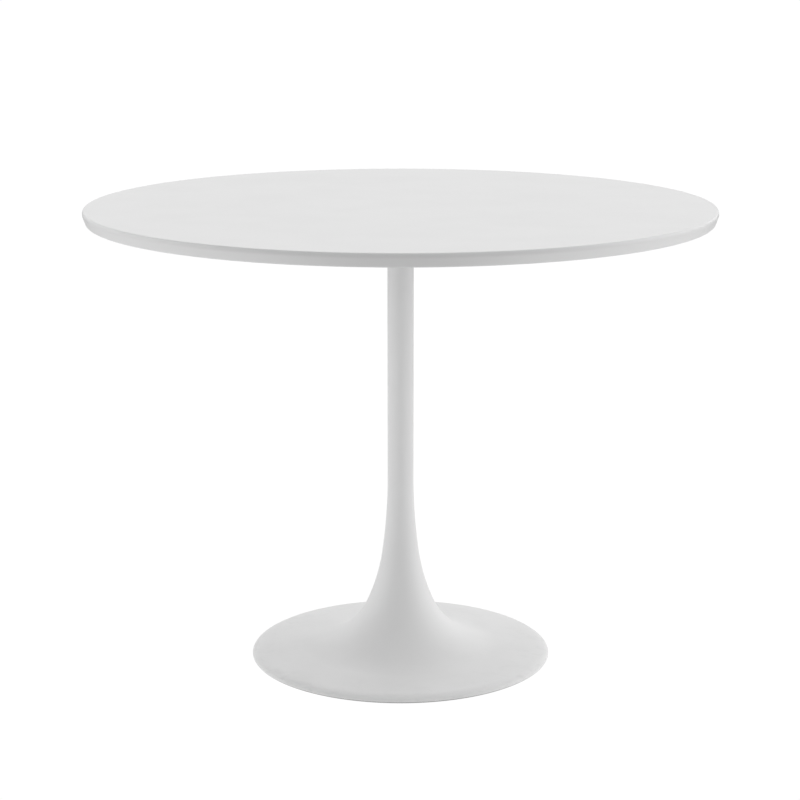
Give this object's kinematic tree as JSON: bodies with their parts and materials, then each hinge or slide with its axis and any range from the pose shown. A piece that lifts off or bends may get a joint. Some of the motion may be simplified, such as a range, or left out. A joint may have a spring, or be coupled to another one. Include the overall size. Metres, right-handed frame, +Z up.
{
  "type": "round pedestal table",
  "caption": "Round dining table: lacquered round top on a slim steel column that flares into a low disc foot, with ballast, tie rod and levelling glides.",
  "frame": {"origin": "on the floor, under the centre of the column", "axes": "+Z up along the column; +X and +Y level and alike, +X through the first levelling glide"},
  "size_m": [1, 1, 0.745],
  "materials": {
    "top_lacquer": "satin white lacquer on fibreboard",
    "pedestal_powder_coat": "satin white powder coat on steel",
    "casting_paint": "black dipped paint",
    "zinc_plated_steel": "bright zinc plate",
    "insert_brass": "turned brass",
    "glide_nylon": "moulded grey nylon"
  },
  "bodies": {
    "root": {"tabletop": "top_lacquer", "insert_nut_1": "insert_brass", "insert_nut_2": "insert_brass", "insert_nut_3": "insert_brass", "insert_nut_4": "insert_brass", "insert_nut_5": "insert_brass", "insert_nut_6": "insert_brass", "insert_nut_7": "insert_brass", "insert_nut_8": "insert_brass", "support_plate": "pedestal_powder_coat", "plate_hub": "zinc_plated_steel", "plate_washer_1": "zinc_plated_steel", "plate_washer_2": "zinc_plated_steel", "plate_washer_3": "zinc_plated_steel", "plate_washer_4": "zinc_plated_steel", "plate_washer_5": "zinc_plated_steel", "plate_washer_6": "zinc_plated_steel", "plate_washer_7": "zinc_plated_steel", "plate_washer_8": "zinc_plated_steel", "plate_screw_1": "zinc_plated_steel", "plate_screw_2": "zinc_plated_steel", "plate_screw_3": "zinc_plated_steel", "plate_screw_4": "zinc_plated_steel", "plate_screw_5": "zinc_plated_steel", "plate_screw_6": "zinc_plated_steel", "plate_screw_7": "zinc_plated_steel", "plate_screw_8": "zinc_plated_steel", "column_tube": "pedestal_powder_coat", "flared_base": "pedestal_powder_coat", "ballast_casting": "casting_paint", "tie_rod": "zinc_plated_steel", "clamp_washer": "zinc_plated_steel", "spring_washer": "zinc_plated_steel", "clamp_nut": "zinc_plated_steel"},
    "glide_1": {"glide_pad_1": "glide_nylon", "glide_stud_1": "zinc_plated_steel"},
    "glide_2": {"glide_pad_2": "glide_nylon", "glide_stud_2": "zinc_plated_steel"},
    "glide_3": {"glide_pad_3": "glide_nylon", "glide_stud_3": "zinc_plated_steel"},
    "glide_4": {"glide_pad_4": "glide_nylon", "glide_stud_4": "zinc_plated_steel"},
    "glide_5": {"glide_pad_5": "glide_nylon", "glide_stud_5": "zinc_plated_steel"},
    "glide_6": {"glide_pad_6": "glide_nylon", "glide_stud_6": "zinc_plated_steel"}
  },
  "joints": [
    {"name": "glide_1_height", "type": "slide", "parent": "root", "child": "glide_1", "axis": [0, 0, -1], "range_m": [0, 0.003]},
    {"name": "glide_2_height", "type": "slide", "parent": "root", "child": "glide_2", "axis": [0, 0, -1], "range_m": [0, 0.003]},
    {"name": "glide_3_height", "type": "slide", "parent": "root", "child": "glide_3", "axis": [0, 0, -1], "range_m": [0, 0.003]},
    {"name": "glide_4_height", "type": "slide", "parent": "root", "child": "glide_4", "axis": [0, 0, -1], "range_m": [0, 0.003]},
    {"name": "glide_5_height", "type": "slide", "parent": "root", "child": "glide_5", "axis": [0, 0, -1], "range_m": [0, 0.003]},
    {"name": "glide_6_height", "type": "slide", "parent": "root", "child": "glide_6", "axis": [0, 0, -1], "range_m": [0, 0.003]}
  ]
}
